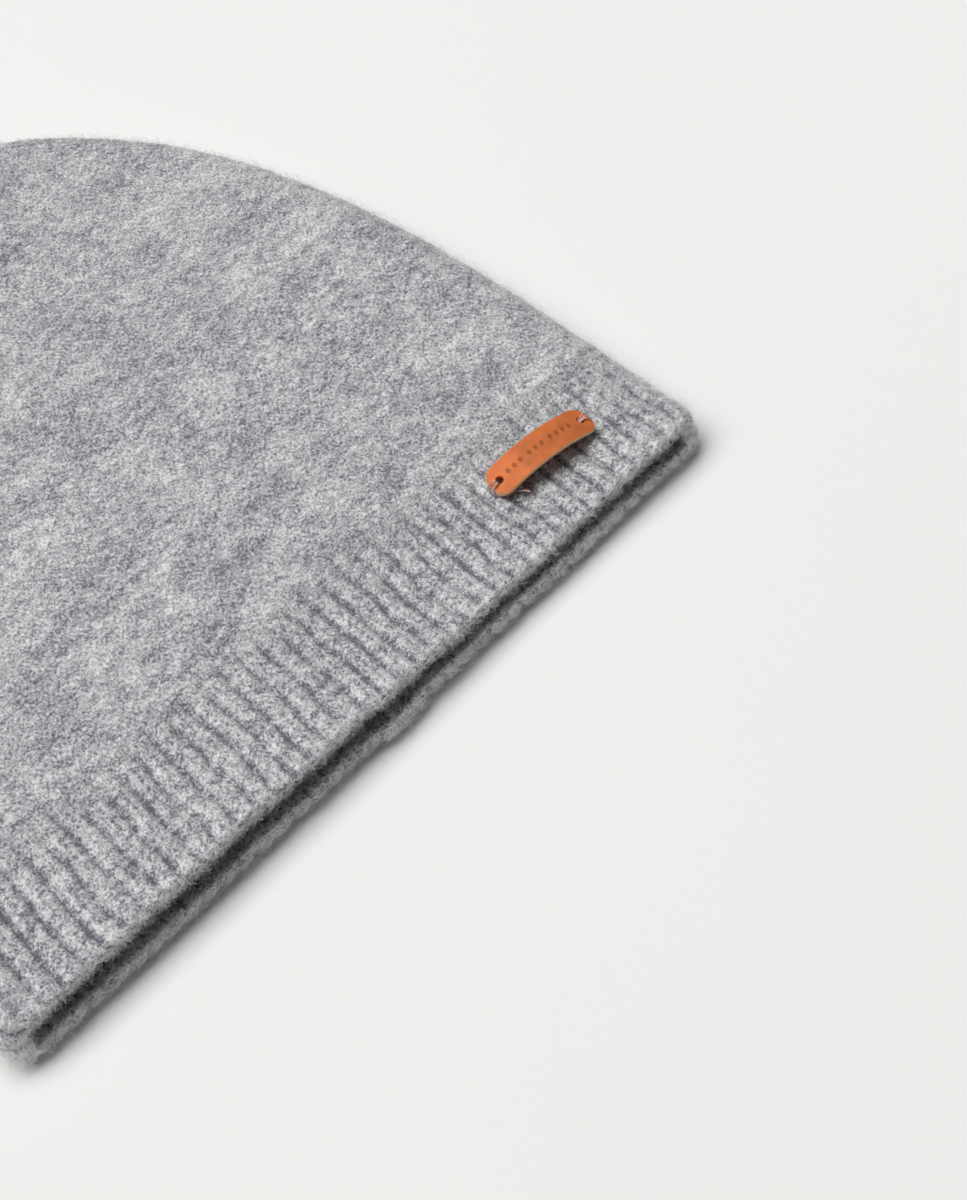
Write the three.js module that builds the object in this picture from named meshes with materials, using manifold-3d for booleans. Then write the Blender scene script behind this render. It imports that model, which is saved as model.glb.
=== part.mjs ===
// A knit beanie laid flat on its back: a brushed dome-shaped crown, a ribbed band at the hem, the sewn back
// seam that stands up inside, and a small arched leather tag held by one thread stitch at each end.
// Millimetres, +Z up. The hem faces -Y, the top of the crown points to +Y, and the back layer lies on z = 0.
// The origin is the middle of the hat's footprint.
import * as THREE from "three";
import { mergeVertices } from "three/addons/utils/BufferGeometryUtils.js";
import Module from "manifold-3d";

const wasm = await Module();
wasm.setup();

// Driving dimensions of the knit
const HAT_WIDTH = 221.4; // across the hem, laid flat
const HAT_LENGTH = 218.5; // foot of the back seam to the top of the crown
const KNIT_WALL = 2.6; // one layer of the brushed knit
const HEM_HEIGHT = 12.4; // both layers and the air between them, at the hem
const BODY_HEIGHT = 15.2; // the same where the crown is fullest
const EDGE_FALL = 0.7; // how much lower the front layer lies at the side folds than along the middle
const CROWN_FULLEST = 95; // distance from the hem at which the full height is reached
const SIDE_TAPER = 0.1; // share by which the sides draw together from the hem to the top
const DOME_POWER = 4.1; // along the hat: how late the outline starts to close in
const SHOULDER_POWER = 1.73; // across the hat: how square the shoulders of the outline are
const SEAT_GAP = 0.3; // air left between pieces that rest against each other

// Driving dimensions of the ribbed band
const BAND_LENGTH = 38.4; // hem to the first row of the crown
const RIB_COUNT = 84; // raised ribs all the way round
const RIB_DEPTH = 0.9; // crest to valley
const RIB_SHOW_INSIDE = 0.5; // share of that depth which shows on the brushed inner face
const RIB_FADE = 5; // stretch below the crown in which the ribs flatten out
const HEM_SETBACK = 3.2; // how far the front layer's hem lies behind the back layer's
const LIP_ROUND = 1.1; // rounding of the hem's edge
const RIB_END_SCALLOP = 0.5; // how far each valley is drawn in at the hem

// Driving dimensions of the back seam
const SEAM_WIDTH = 4.4;
const SEAM_RIGHT_OF_MIDDLE = 1.5; // the seam lies a little beside the middle of the hat
const SEAM_RISE_AT_HEM = 4; // height of the folded edges at the hem
const SEAM_RISE_IN_CROWN = 3.2; // and where they lie flatter further in
const SEAM_END_INSET = 1.0; // the seam ends this far inside the hem's edge
const SEAM_BULGE = 1.4; // how far the seam pushes the back hem out
const SEAM_BULGE_REACH = 7; // half the width of that bulge
const SEAM_FLAT_REACH = 5; // the ribs are drawn flat this far to each side of the seam
const SEAM_CLEAR_OF_TOP = 24; // the seam ends this far from the top of the crown

// Driving dimensions of the leather tag and its stitches
const TAG_LENGTH = 31; // end to end, as it lies
const TAG_WIDTH = 8.4;
const TAG_THICKNESS = 1.3;
const TAG_RISE = 3.3; // how far the middle arches above the ends
const TAG_CORNER = 3;
const TAG_HOLE_RADIUS = 1.1;
const TAG_HOLE_FROM_END = 2.4;
const TAG_FROM_SIDE_FOLD = 38.4; // from the right side fold at the hem to the middle of the tag
const TAG_ABOVE_HEM = 24; // from the back hem to the middle of the tag
const TAG_TURN = -5; // degrees, the right end nearer the hem
const THREAD_RADIUS = 0.45;

// How finely the curved faces are divided
const POINTS_PER_RIB = 4;
const CROWN_COLUMNS = 68;
const CROWN_ROWS = 17;
const FOLD_CROWDING = 0.45; // draws the crown's columns together at the side folds
const TOP_CROWDING = 2.3; // and its rows towards the top, where the outline turns fastest
const ARCH_STEPS = 14;
const HOLE_SIDES = 14;
const THREAD_SIDES = 8;
const THREAD_STEPS = 12;

// Where the front layer dips or lifts as it lies: across as a share of the half width, up as a share of the
// hat's length, reach as a share of the width, and depth as a share of the height at the hem.
const SOFT_DENTS = [
  { across: 0.42, up: 0.02, reach: 0.17, depth: 0.13 },
  { across: -0.55, up: 0.03, reach: 0.2, depth: -0.03 },
  { across: -0.2, up: 0.4, reach: 0.2, depth: 0.05 },
  { across: 0.35, up: 0.62, reach: 0.22, depth: 0.06 },
];

const KNIT_COLOUR = 0x9c9ca1;
const RIB_COLOUR = 0x95959a;
const SEAM_COLOUR = 0x8f8f94;
const LEATHER_COLOUR = 0xbe6f41;
const THREAD_COLOUR = 0xc9b3a4;

const smooth = (t) => THREE.MathUtils.smoothstep(t, 0, 1);
const bell = (t) => Math.exp(-t * t);

// Shape of the hat as it lies. y is the distance from the foot of the back seam, and inset is the depth below
// the outer face, so the inner face of the knit is the same shape drawn in by the wall.

// Half the width at y: a tapered superellipse that starts at the hem and closes at the top of the crown.
function halfWidthAt(y, inset) {
  const way = THREE.MathUtils.clamp(y / (HAT_LENGTH - inset), 0, 1);
  return (HAT_WIDTH / 2 - inset) * (1 - SIDE_TAPER * way) * (1 - way ** DOME_POWER) ** (1 / SHOULDER_POWER);
}

// Height of both layers at y, before the fold at the top of the crown rounds it off.
function fullHeightAt(y) {
  return HEM_HEIGHT + (BODY_HEIGHT - HEM_HEIGHT) * smooth(y / CROWN_FULLEST);
}

// The ring at y as it lies: half its width and half its height, the height of its middle, and how far each
// side fold reaches in from the outline. A half round of the full height closes the top of the crown, and a
// fold reaches further in where the outline runs slantwise, so that the rim is as round there as anywhere.
function ringAt(y, inset) {
  const middle = fullHeightAt(y) / 2;
  const round = middle - inset;
  const share = THREE.MathUtils.clamp(1 - (HAT_LENGTH - inset - y) / round, 0, 1);
  const halfHeight = round * Math.sqrt(Math.max(0, 1 - share * share));
  const halfWidth = halfWidthAt(y, inset);
  const step = HAT_LENGTH / 400;
  const slope = (halfWidthAt(y - step, inset) - halfWidthAt(y + step, inset)) / (2 * step);
  return { halfWidth, halfHeight, middle, fold: Math.min(round * Math.hypot(1, slope), halfWidth) };
}

// A point of a flattened ring with its outward direction: share runs from the middle of the underside along
// it to +X, up round the right fold, back over the top, and down round the left fold.
function ringPoint(share, ring) {
  const flat = ring.halfWidth - ring.fold;
  const arc = Math.PI * Math.sqrt((ring.fold ** 2 + ring.halfHeight ** 2) / 2);
  let along = share * (4 * flat + 2 * arc);
  if (along <= flat) return { x: along, z: ring.middle - ring.halfHeight, outX: 0, outZ: -1 };
  along -= flat;
  if (along <= arc) return foldPoint(flat, ring, along / arc - 0.5);
  along -= arc;
  if (along <= 2 * flat) return { x: flat - along, z: ring.middle + ring.halfHeight, outX: 0, outZ: 1 };
  along -= 2 * flat;
  if (along <= arc) return foldPoint(-flat, ring, along / arc + 0.5);
  return { x: along - arc - flat, z: ring.middle - ring.halfHeight, outX: 0, outZ: -1 };
}

function foldPoint(centreX, ring, halfTurns) {
  const across = Math.cos(halfTurns * Math.PI);
  const up = Math.sin(halfTurns * Math.PI);
  const out = new THREE.Vector2(across * ring.halfHeight, up * ring.fold).normalize();
  return { x: centreX + ring.fold * across, z: ring.middle + ring.halfHeight * up, outX: out.x, outZ: out.y };
}

// 0 on the back layer and 1 on the front layer, the same on both faces of a wall.
function frontShare(y, z) {
  return smooth((z - KNIT_WALL) / (fullHeightAt(y) - 2 * KNIT_WALL));
}

// How far the front layer lies above or below its plain height.
function frontLift(x, y) {
  const across = x / (HAT_WIDTH / 2);
  let lift = -EDGE_FALL * across * across;
  for (const dent of SOFT_DENTS) {
    const dx = (across - dent.across) * (HAT_WIDTH / 2);
    const dy = y - dent.up * HAT_LENGTH;
    lift -= dent.depth * HEM_HEIGHT * bell(Math.hypot(dx, dy) / (dent.reach * HAT_WIDTH));
  }
  return lift;
}

// Where the hem's edge lies: the seam pushes the back layer out, and the front layer is set back.
function hemAt(x, front) {
  const bulge = SEAM_BULGE * bell((x - SEAM_RIGHT_OF_MIDDLE) / SEAM_BULGE_REACH) * (1 - front);
  return SEAM_BULGE - bulge + HEM_SETBACK * front;
}

// 0 on a rib's crest and 1 in the valley beside it, for a share of the way round.
function ribValley(share) {
  const phase = (share * RIB_COUNT) % 1;
  const fromCrest = Math.abs(phase - 0.5) * 2;
  return fromCrest * fromCrest * fromCrest;
}

// The ribs are drawn flat where the back seam crosses them.
function ribStrength(x, front) {
  const besideSeam = smooth(Math.abs(x - SEAM_RIGHT_OF_MIDDLE) / SEAM_FLAT_REACH - 0.4);
  return THREE.MathUtils.lerp(besideSeam, 1, front);
}

// A point of the knit. way runs from 0 at the hem to 1 at the band's top, ribs is the strength of the relief.
function bandPoint(share, way, inset, ribs) {
  const y = way * BAND_LENGTH;
  const base = ringPoint(share, ringAt(y, inset));
  const front = frontShare(y, base.z);
  const valley = ribValley(share) * ribs * ribStrength(base.x, front);
  const hem = hemAt(base.x, front) + RIB_END_SCALLOP * valley;
  const x = base.x - base.outX * RIB_DEPTH * valley;
  const z = base.z - base.outZ * RIB_DEPTH * valley + frontLift(base.x, y) * front;
  return new THREE.Vector3(x, THREE.MathUtils.lerp(hem, BAND_LENGTH, way), z);
}

function crownPoint(share, y, inset) {
  const base = ringPoint(share, ringAt(y, inset));
  const z = base.z + frontLift(base.x, y) * frontShare(y, base.z);
  return new THREE.Vector3(base.x, y, z);
}

// A closed mesh from rings of equal length: each ring is joined to the next. Without poles the last ring is
// joined to the first; with poles, [first, last], a fan closes each end.
function skin(rings, poles) {
  const count = rings[0].length;
  const points = rings.flat();
  const faces = [];
  const joins = poles ? rings.length - 1 : rings.length;
  for (let r = 0; r < joins; r++) {
    const here = r * count;
    const next = ((r + 1) % rings.length) * count;
    for (let i = 0; i < count; i++) {
      const j = (i + 1) % count;
      faces.push(here + i, here + j, next + j, here + i, next + j, next + i);
    }
  }
  if (poles) {
    const [first, last] = [points.length, points.length + 1];
    const lastRing = (rings.length - 1) * count;
    points.push(poles[0], poles[1]);
    for (let i = 0; i < count; i++) {
      const j = (i + 1) % count;
      faces.push(first, j, i, last, lastRing + i, lastRing + j);
    }
  }
  return new THREE.BufferGeometry().setFromPoints(points).setIndex(faces);
}

const shares = (count) => Array.from({ length: count }, (_, i) => i / count);

// The band is a ribbed tube: its rings run down the outer face, round the hem's edge and up the inner face.
function bandGeometry() {
  const round = shares(RIB_COUNT * POINTS_PER_RIB);
  const lip = LIP_ROUND / BAND_LENGTH;
  const fade = 1 - RIB_FADE / BAND_LENGTH;
  const rows = [
    { way: 1, inset: 0, ribs: 0.25 },
    { way: fade, inset: 0, ribs: 1 },
    { way: 2.5 * lip, inset: 0, ribs: 1 },
    { way: lip * 0.4, inset: LIP_ROUND * 0.4, ribs: 1 },
    { way: 0, inset: LIP_ROUND, ribs: 1 },
    { way: 0, inset: KNIT_WALL - LIP_ROUND, ribs: 1 },
    { way: 1.5 * lip, inset: KNIT_WALL, ribs: RIB_SHOW_INSIDE },
    { way: fade, inset: KNIT_WALL, ribs: RIB_SHOW_INSIDE },
    { way: 1, inset: KNIT_WALL, ribs: 0.25 * RIB_SHOW_INSIDE },
  ];
  return skin(rows.map((row) => round.map((s) => bandPoint(s, row.way, row.inset, row.ribs))));
}

// The crown is an open bag: its rings run from the inner face's pole to the band and back up the outer face.
function crownGeometry() {
  const crowd = (s) => s + (FOLD_CROWDING * Math.sin(4 * Math.PI * s)) / (4 * Math.PI);
  const round = shares(CROWN_COLUMNS).map(crowd);
  const foot = BAND_LENGTH + SEAT_GAP;
  const face = (inset) => {
    const top = HAT_LENGTH - inset;
    const rings = [];
    for (let row = 0; row < CROWN_ROWS; row++) {
      const y = top - (top - foot) * (1 - row / CROWN_ROWS) ** TOP_CROWDING;
      rings.push(round.map((s) => crownPoint(s, y, inset)));
    }
    return { rings, pole: crownPoint(0, top, inset) };
  };
  const outer = face(0);
  const inner = face(KNIT_WALL);
  return skin([...outer.rings.reverse(), ...inner.rings], [outer.pole, inner.pole]);
}

// The seam is a low round-topped welt that lies along the inside of the back layer.
function seamGeometry() {
  const foot = KNIT_WALL + SEAT_GAP;
  const start = SEAM_END_INSET;
  const end = HAT_LENGTH - SEAM_CLEAR_OF_TOP;
  const half = SEAM_WIDTH / 2;
  const middle = SEAM_RIGHT_OF_MIDDLE;
  const section = [
    { across: -1, up: 0 },
    { across: 1, up: 0 },
    { across: 0.9, up: 0.6 },
    { across: 0.5, up: 0.93 },
    { across: 0, up: 1 },
    { across: -0.5, up: 0.93 },
    { across: -0.9, up: 0.6 },
  ];
  const sectionAt = (y) => {
    const rise = THREE.MathUtils.lerp(SEAM_RISE_AT_HEM, SEAM_RISE_IN_CROWN, smooth(y / BAND_LENGTH));
    return section.map((p) => new THREE.Vector3(middle + p.across * half, y, foot + p.up * rise));
  };
  const places = [start, start + 0.25 * BAND_LENGTH, 0.6 * BAND_LENGTH, BAND_LENGTH, end];
  const rings = places.map(sectionAt).reverse();
  const poleAt = (y) => new THREE.Vector3(middle, y, foot + SEAM_RISE_IN_CROWN / 2);
  return skin(rings, [poleAt(end), poleAt(start)]);
}

function solidOf(geometry) {
  const bare = new THREE.BufferGeometry().setAttribute("position", geometry.getAttribute("position"));
  const merged = mergeVertices(geometry.index ? bare.setIndex(geometry.index) : bare);
  const mesh = { numProp: 3, vertProperties: merged.attributes.position.array };
  return new wasm.Manifold(new wasm.Mesh({ ...mesh, triVerts: new Uint32Array(merged.index.array) }));
}

function geometryOf(solid) {
  const mesh = solid.getMesh();
  const place = new THREE.BufferAttribute(mesh.vertProperties, mesh.numProp);
  return new THREE.BufferGeometry()
    .setAttribute("position", place)
    .setIndex(new THREE.BufferAttribute(mesh.triVerts, 1));
}

// The tag in its own frame: x along it, y across it, z = 0 under its ends. Underside of the arch at x.
const archAt = (x) => TAG_RISE * (1 - ((2 * x) / TAG_LENGTH) ** 2);

function roundedOutline(length, width, corner) {
  const [a, b] = [length / 2, width / 2];
  const outline = new THREE.Shape();
  outline.moveTo(-a + corner, -b);
  outline.lineTo(a - corner, -b);
  outline.absarc(a - corner, -b + corner, corner, -Math.PI / 2, 0);
  outline.absarc(a - corner, b - corner, corner, 0, Math.PI / 2);
  outline.absarc(-a + corner, b - corner, corner, Math.PI / 2, Math.PI);
  outline.absarc(-a + corner, -b + corner, corner, Math.PI, 1.5 * Math.PI);
  return outline;
}

// The tag is an arched strip, cut to a rounded outline with a round hole near each end.
function tagGeometry() {
  const side = [];
  for (let i = 0; i <= ARCH_STEPS; i++) {
    const x = TAG_LENGTH * (i / ARCH_STEPS - 0.5);
    side.push(new THREE.Vector2(x, archAt(x)));
  }
  const over = side.map((p) => new THREE.Vector2(p.x, p.y + TAG_THICKNESS)).reverse();
  const strip = new THREE.ExtrudeGeometry(new THREE.Shape([...side, ...over]), {
    depth: TAG_WIDTH,
    bevelEnabled: false,
  });
  strip.rotateX(Math.PI / 2).translate(0, TAG_WIDTH / 2, 0);

  const corner = Math.min(TAG_CORNER, TAG_WIDTH / 2, TAG_LENGTH / 2);
  const outline = roundedOutline(TAG_LENGTH, TAG_WIDTH, corner);
  const height = 2 * (TAG_RISE + TAG_THICKNESS);
  const cutter = new THREE.ExtrudeGeometry(outline, { depth: height, bevelEnabled: false, curveSegments: 5 });
  cutter.translate(0, 0, -height / 4);

  let tag = solidOf(strip).intersect(solidOf(cutter));
  for (const end of [-1, 1]) {
    const hole = new THREE.CylinderGeometry(TAG_HOLE_RADIUS, TAG_HOLE_RADIUS, height, HOLE_SIDES);
    hole.rotateX(Math.PI / 2).translate(end * (TAG_LENGTH / 2 - TAG_HOLE_FROM_END), 0, height / 4);
    tag = tag.subtract(solidOf(hole));
  }
  return geometryOf(tag);
}

// One stitch: up through a hole, over the tag's end and down into the knit beside it.
function stitchGeometry(end) {
  const hole = TAG_LENGTH / 2 - TAG_HOLE_FROM_END;
  const outside = TAG_LENGTH / 2 + SEAT_GAP + THREAD_RADIUS;
  const above = (x) => archAt(x) + TAG_THICKNESS + SEAT_GAP + 1.3 * THREAD_RADIUS;
  const edge = TAG_LENGTH / 2 - 0.25 * TAG_HOLE_FROM_END;
  const route = [
    { x: hole, z: 0 },
    { x: hole, z: archAt(hole) + TAG_THICKNESS },
    { x: hole + 0.25 * TAG_HOLE_FROM_END, z: above(hole) + 0.2 * THREAD_RADIUS },
    { x: edge, z: above(edge) + 0.2 * THREAD_RADIUS },
    { x: outside, z: TAG_THICKNESS },
    { x: outside, z: 0 },
  ];
  const path = new THREE.CatmullRomCurve3(route.map((p) => new THREE.Vector3(p.x, 0, p.z)));
  const round = new THREE.Shape().absarc(0, 0, THREAD_RADIUS, 0, 2 * Math.PI);
  const thread = new THREE.ExtrudeGeometry(round, {
    extrudePath: path,
    steps: THREAD_STEPS,
    curveSegments: THREAD_SIDES / 2,
    bevelEnabled: false,
  });
  return end > 0 ? thread : thread.rotateZ(Math.PI);
}

function piece(name, geometry, colour, roughness) {
  const material = new THREE.MeshStandardMaterial({ color: colour, roughness, metalness: 0 });
  const mesh = new THREE.Mesh(geometry, material);
  mesh.name = name;
  return mesh;
}

// The tag and its stitches share one group that rests on the crests of the band's front layer.
function tagGroup() {
  const group = new THREE.Group();
  group.add(piece("leather_tag", tagGeometry(), LEATHER_COLOUR, 0.5));
  group.add(piece("tag_stitch_left", stitchGeometry(-1), THREAD_COLOUR, 0.9));
  group.add(piece("tag_stitch_right", stitchGeometry(1), THREAD_COLOUR, 0.9));
  const turn = THREE.MathUtils.degToRad(TAG_TURN);
  const reach = (TAG_LENGTH / 2) * Math.cos(turn);
  const drop = (TAG_LENGTH / 2) * Math.sin(turn);
  const heightAt = (x, y) => fullHeightAt(y) + frontLift(x, y);
  const across = HAT_WIDTH / 2 - TAG_FROM_SIDE_FOLD;
  const left = heightAt(across - reach, TAG_ABOVE_HEM - drop);
  const right = heightAt(across + reach, TAG_ABOVE_HEM + drop);
  const middle = heightAt(across, TAG_ABOVE_HEM);
  const sag = Math.max(0, middle - (left + right) / 2);
  group.position.set(across, TAG_ABOVE_HEM, (left + right) / 2 + SEAT_GAP + sag / 2);
  group.rotation.set(0, -Math.atan2(right - left, 2 * reach), turn, "ZYX");
  return group;
}

const beanie = new THREE.Group();
beanie.add(piece("crown", crownGeometry(), KNIT_COLOUR, 0.95));
beanie.add(piece("rib_band", bandGeometry(), RIB_COLOUR, 0.95));
beanie.add(piece("back_seam", seamGeometry(), SEAM_COLOUR, 0.95));
beanie.add(tagGroup());
beanie.position.y = -HAT_LENGTH / 2;

export default beanie;
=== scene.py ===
"""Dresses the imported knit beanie: brushed wool with ribs, stitches and nap, a leather tag, floor and light.

All lengths are in metres and all places are in the hat's own frame: +Z up, the hat lies on z = 0, the hem
faces -Y and the top of the crown points to +Y.
"""
import math

import bpy
import numpy as np
from bpy.props import FloatProperty, FloatVectorProperty, IntProperty, PointerProperty
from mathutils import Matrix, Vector


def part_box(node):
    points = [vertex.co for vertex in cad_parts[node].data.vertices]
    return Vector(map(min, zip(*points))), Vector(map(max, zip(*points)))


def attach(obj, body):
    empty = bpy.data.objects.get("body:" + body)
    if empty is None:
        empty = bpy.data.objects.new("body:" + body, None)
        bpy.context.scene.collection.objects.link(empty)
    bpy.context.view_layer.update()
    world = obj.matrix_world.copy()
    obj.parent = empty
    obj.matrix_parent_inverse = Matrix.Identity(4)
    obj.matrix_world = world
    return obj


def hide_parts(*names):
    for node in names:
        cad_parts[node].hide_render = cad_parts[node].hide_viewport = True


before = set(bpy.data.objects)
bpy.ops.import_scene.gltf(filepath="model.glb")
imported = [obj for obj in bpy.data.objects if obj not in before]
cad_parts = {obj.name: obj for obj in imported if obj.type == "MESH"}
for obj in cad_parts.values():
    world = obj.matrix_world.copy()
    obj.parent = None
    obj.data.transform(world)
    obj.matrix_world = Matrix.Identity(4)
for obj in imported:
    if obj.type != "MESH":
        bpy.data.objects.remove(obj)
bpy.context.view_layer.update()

bl_info = {
    "name": "Knit beanie",
    "version": (1, 0, 0),
    "blender": (4, 5, 0),
    "location": "View3D > Sidebar > Beanie",
    "description": "Knit beanie with a ribbed hem and a leather tag",
    "category": "Object",
}

MM = 0.001
TAU = 2 * math.pi


# Sizes and colours that a user would change

def length_field(name, description, millimetres):
    """A length that shows in the sidebar."""
    return FloatProperty(name=name, description=description, default=millimetres * MM, unit="LENGTH")


def colour_field(name, description, colour):
    """A colour that shows in the sidebar."""
    return FloatVectorProperty(
        name=name, description=description, default=colour, subtype="COLOR", min=0, max=1
    )


class HatSizes(bpy.types.PropertyGroup):
    """Sizes of the knit as it lies flat."""

    width: length_field("Width", "Across the hem", 221.4)
    length: length_field("Length", "Hem to the top", 218.5)
    wall: length_field("Wall", "One layer of the knit", 2.6)
    hem_height: length_field("Hem height", "Both layers at the hem", 12.4)
    body_height: length_field("Body height", "Both layers where the crown is fullest", 15.2)
    band: length_field("Band", "Length of the ribbed band", 38.4)
    ribs: IntProperty(name="Ribs", description="Raised ribs all the way round", default=84, min=8)
    rib_depth: length_field("Rib depth", "Crest to valley", 1.1)
    course: length_field("Course", "Height of one stitch", 2.15)
    setback: length_field("Setback", "Front hem behind the back hem", 3.2)
    seam_x: length_field("Seam", "Place of the back seam", 1.5)


class WoolLook(bpy.types.PropertyGroup):
    """Colours of the melange wool."""

    dark: colour_field("Dark", "Darkest fibres", (0.125, 0.13, 0.16))
    middle: colour_field("Middle", "Most of the wool", (0.42, 0.42, 0.432))
    light: colour_field("Light", "Palest fibres", (0.76, 0.76, 0.765))
    nap: length_field("Nap", "Length of the brushed fibres", 2.2)
    nap_count: IntProperty(
        name="Nap count", description="Fibres in a patch of nap with the amount 1", default=30000, min=0
    )


class TagSizes(bpy.types.PropertyGroup):
    """Sizes and colours of the leather tag."""

    length: length_field("Length", "End to end", 31)
    width: length_field("Width", "Across the tag", 8.4)
    thickness: length_field("Thickness", "Of the leather", 1.3)
    rise: length_field("Rise", "Arch over its ends", 3.3)
    corner: length_field("Corner", "Corner radius", 3)
    hole: length_field("Hole", "Radius of each hole", 1.05)
    hole_inset: length_field("Hole inset", "Hole to end", 2.4)
    place: FloatVectorProperty(
        name="Place", description="Middle, right of the hat's and above the hem", size=2,
        default=(72.3 * MM, 24 * MM), subtype="XYZ",
    )
    turn: FloatProperty(name="Turn", description="In its plane", default=math.radians(-5), subtype="ANGLE")
    face: colour_field("Face", "Finished side", (0.585, 0.152, 0.04))
    edge: colour_field("Edge", "Raw cut edge", (0.88, 0.55, 0.32))
    thread: colour_field("Thread", "Sewing thread", (0.72, 0.42, 0.34))


class StageLook(bpy.types.PropertyGroup):
    """Camera, floor and light."""

    lens: FloatProperty(name="Lens", description="Focal length", default=58.5, min=10)
    eye: FloatVectorProperty(
        name="Eye", description="Place of the camera", default=(-0.1387, -0.26535, 0.3899), subtype="XYZ"
    )
    target: FloatVectorProperty(
        name="Target", description="Point in the picture's middle", default=(0.0387, -0.09825, 0),
        subtype="XYZ",
    )
    floor: colour_field("Floor", "Colour of the floor", (0.826, 0.818, 0.803))
    key: FloatProperty(name="Key", description="Power of the large soft light", default=1820.0, min=0)
    fill: FloatProperty(name="Fill", description="Strength of the light all round", default=0.126, min=0)


# Small helpers for shapes

def smooth(t):
    """Three t squared minus two t cubed, for t held between 0 and 1."""
    t = np.clip(t, 0, 1)
    return t * t * (3 - 2 * t)


def bell(t):
    """The exponential of minus t squared."""
    return np.exp(-t * t)


def lattice(i, j, seed):
    """A fixed random value from 0 to 1 for each pair of whole numbers: the fraction of a large sine."""
    return np.modf(np.abs(np.sin(i * 127.1 + j * 311.7 + seed * 74.7) * 43758.5453))[0]


def drift(a, b, seed):
    """Value noise from -1 to 1: random values at whole numbers, blended smoothly between them."""
    i, j = np.floor(a), np.floor(b)
    u, v = smooth(a - i), smooth(b - j)
    low = lattice(i, j, seed) * (1 - u) + lattice(i + 1, j, seed) * u
    high = lattice(i, j + 1, seed) * (1 - u) + lattice(i + 1, j + 1, seed) * u
    return 2 * (low * (1 - v) + high * v) - 1


# Shape of the hat as it lies, in step with the solids

# Here y is the distance from the foot of the back seam and inset the depth under the outer face.
SIDE_TAPER = 0.1  # share by which the sides draw together from the hem to the top
DOME_POWER = 4.1  # how late the outline starts to close in
SHOULDER_POWER = 1.73  # how square its shoulders are
CROWN_FULLEST = 95 * MM  # distance from the hem at which the full height is reached
EDGE_FALL = 0.7 * MM  # how much lower the front layer lies at the side folds
SEAM_BULGE = 1.4 * MM  # how far the seam pushes the back hem out
SEAM_BULGE_REACH = 7 * MM
SEAM_FLAT_REACH = 5 * MM  # the ribs are drawn flat this far to each side of the seam
RIB_FADE = 8 * MM  # stretch below the crown in which the ribs flatten out
HEM_ROLL = 1.9 * MM  # how far the rolled lip stands into the hat at the hem
HEM_ROLL_REACH = 5 * MM
FOLD_FILL = 1.4 * MM  # how much further it stands in at the right side fold
HEM_CORNER = 5 * MM  # radius of the hem's corners as seen from above
HEM_SKEW = 0.008  # slope by which the hem draws back towards the right
HEM_FLATTER = 0.55  # how much squarer the floor presses the underside of the hem's edge
# Each dent: across as a share of the half width, up as a share of the length, reach as a share of the width,
# and depth as a share of the height at the hem
SOFT_DENTS = (
    (0.42, 0.02, 0.17, 0.13),
    (-0.55, 0.03, 0.2, -0.03),
    (-0.2, 0.4, 0.2, 0.05),
    (0.35, 0.62, 0.22, 0.06),
)
STITCH_WIDTH = 0.72  # share of a rib that its column of V stitches takes
STITCH_RELIEF = 0.3 * MM
RIB_LOWER = 0.26 * MM  # how far the ribs lie below the outline, so that the stitches end at it
TUFT_RELIEF = 0.13 * MM
RIB_SETBACK = 0.6 * MM  # how far each valley is drawn in at the hem
HEM_UNEVEN = 0.25 * MM


def half_width(hat, y, inset):
    """Half the width less the inset, narrowed by the taper, times (1 - way^dome)^(1 / shoulder)."""
    way = np.clip(y / (hat.length - inset), 0, 1)
    closing = np.maximum(1 - way**DOME_POWER, 0) ** (1 / SHOULDER_POWER)
    return (hat.width / 2 - inset) * (1 - SIDE_TAPER * way) * closing


def full_height(hat, y):
    """Height at the hem, growing smoothly to the body's height."""
    return hat.hem_height + (hat.body_height - hat.hem_height) * smooth(y / CROWN_FULLEST)


def front_lift(hat, x, y):
    """Minus the edge fall times the square of the share across, less one bell for each soft dent."""
    across = x / (hat.width / 2)
    lift = -EDGE_FALL * across**2
    for centre, up, reach, depth in SOFT_DENTS:
        far = np.hypot((across - centre) * hat.width / 2, y - up * hat.length)
        lift = lift - depth * hat.hem_height * bell(far / (reach * hat.width))
    return lift


def ring(hat, share, y, inset):
    """Points of flattened rings, with their outward direction in X and Z.

    Each ring is two straight runs joined by two half ellipses, the side folds. The share runs along it from
    the middle of the underside to +X, round the right fold, back over the top and down round the left fold.
    A half round of the full height closes the top of the crown.
    """
    share, y, inset = np.broadcast_arrays(share, y, inset)
    middle = full_height(hat, y) / 2
    radius = middle - inset
    near = np.clip(1 - (hat.length - inset - y) / radius, 0, 1)
    half_h = radius * np.sqrt(1 - near**2)
    half_w = half_width(hat, y, inset)
    step = hat.length / 400
    slope = (half_width(hat, y - step, inset) - half_width(hat, y + step, inset)) / (2 * step)
    fold = np.minimum(radius * np.hypot(1, slope), half_w)
    flat = half_w - fold
    arc = np.maximum(math.pi * np.sqrt((fold**2 + half_h**2) / 2), 1e-9)
    along = share * (4 * flat + 2 * arc)
    right, back, left = flat, flat + arc, 3 * flat + arc
    runs = [along <= right, along <= back, along <= left, along <= left + arc]
    quarter = math.pi / 2
    angle = np.select(
        runs,
        [-quarter, ((along - right) / arc - 0.5) * math.pi, quarter, ((along - left) / arc + 0.5) * math.pi],
        -quarter,
    )
    centre = np.select(runs, [along, flat, flat - (along - back), -flat], along - left - arc - flat)
    x = centre + fold * np.cos(angle)
    z = middle + half_h * np.sin(angle)
    out_x, out_z = np.cos(angle) * half_h, np.sin(angle) * fold
    size = np.maximum(np.hypot(out_x, out_z), 1e-12)
    return x, z, out_x / size, out_z / size


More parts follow.
